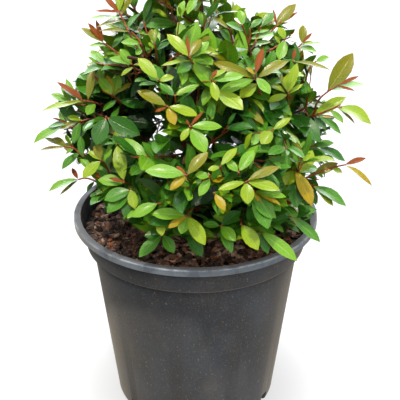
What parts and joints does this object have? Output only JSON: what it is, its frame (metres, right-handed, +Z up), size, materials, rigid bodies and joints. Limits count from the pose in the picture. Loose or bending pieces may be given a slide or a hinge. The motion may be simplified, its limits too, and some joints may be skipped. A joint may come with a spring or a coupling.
{
  "type": "potted brush cherry shrub",
  "caption": "Bushy young brush cherry shrub with glossy pointed leaves in opposite pairs on thin reddish twigs, growing in a round tapered nursery pot with a collared rim.",
  "frame": {"origin": "centre of the pot's flat underside, where it stands on the floor", "axes": "+Z up along the pot's axis, -Y towards the side seen in the picture, +X to that view's right"},
  "size_m": [0.3418, 0.3333, 0.4802],
  "materials": {
    "pot_plastic": "satin, dusty",
    "bark_mix": "rough, moist bark chips",
    "bark": "rough bark",
    "leaves": "glossy leaf"
  },
  "bodies": {
    "root": {"bough_dome_1": "bark", "bough_dome_2": "bark", "bough_dome_3": "bark", "bough_dome_4": "bark", "bough_shoulder_1": "bark", "bough_shoulder_2": "bark", "bough_shoulder_3": "bark", "bough_shoulder_4": "bark", "bough_skirt_1": "bark", "bough_skirt_2": "bark", "bough_skirt_3": "bark", "bough_skirt_4": "bark", "foliage_dome_1": "leaves", "foliage_dome_2": "leaves", "foliage_dome_3": "leaves", "foliage_dome_4": "leaves", "foliage_shoulder_1": "leaves", "foliage_shoulder_2": "leaves", "foliage_shoulder_3": "leaves", "foliage_shoulder_4": "leaves", "foliage_skirt_1": "leaves", "foliage_skirt_2": "leaves", "foliage_skirt_3": "leaves", "foliage_skirt_4": "leaves", "foliage_top": "leaves", "pot": "pot_plastic", "potting_mix": "bark_mix", "stem": "bark"}
  },
  "joints": []
}
